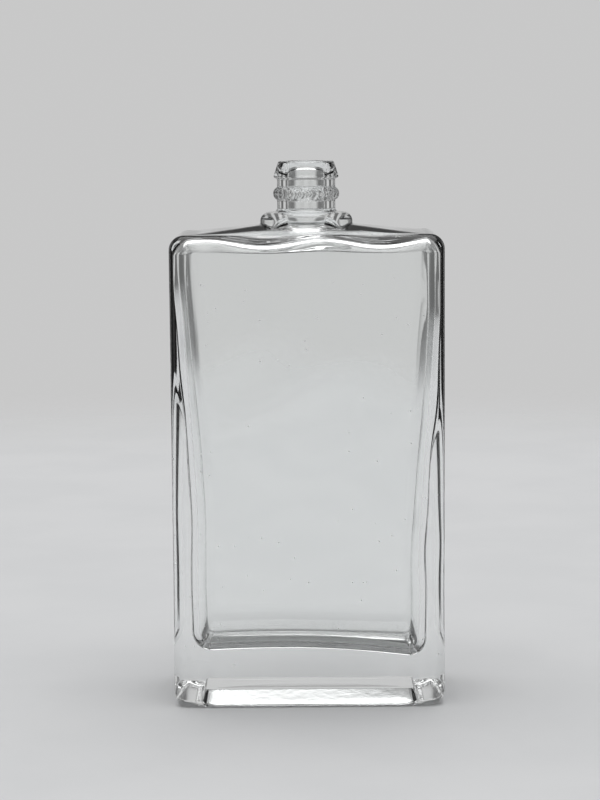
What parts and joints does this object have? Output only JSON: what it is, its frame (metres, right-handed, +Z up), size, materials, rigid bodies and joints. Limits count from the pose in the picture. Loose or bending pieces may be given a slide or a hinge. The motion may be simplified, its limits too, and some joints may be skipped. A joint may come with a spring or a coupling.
{
  "type": "aftershave bottle",
  "caption": "Clear upright rectangular glass bottle with a thick solid base, pitched shoulder and an open round neck with a bead and a crimp lip.",
  "frame": {"origin": "centre of the base, on the surface that the bottle stands on", "axes": "+Z up the neck, X across the width of the body, Y front to back with the front at -Y"},
  "size_m": [0.0618, 0.032, 0.1237],
  "materials": {
    "flint_glass": "clear fire-polished glass"
  },
  "bodies": {
    "root": {"glass_bottle": "flint_glass"}
  },
  "joints": []
}
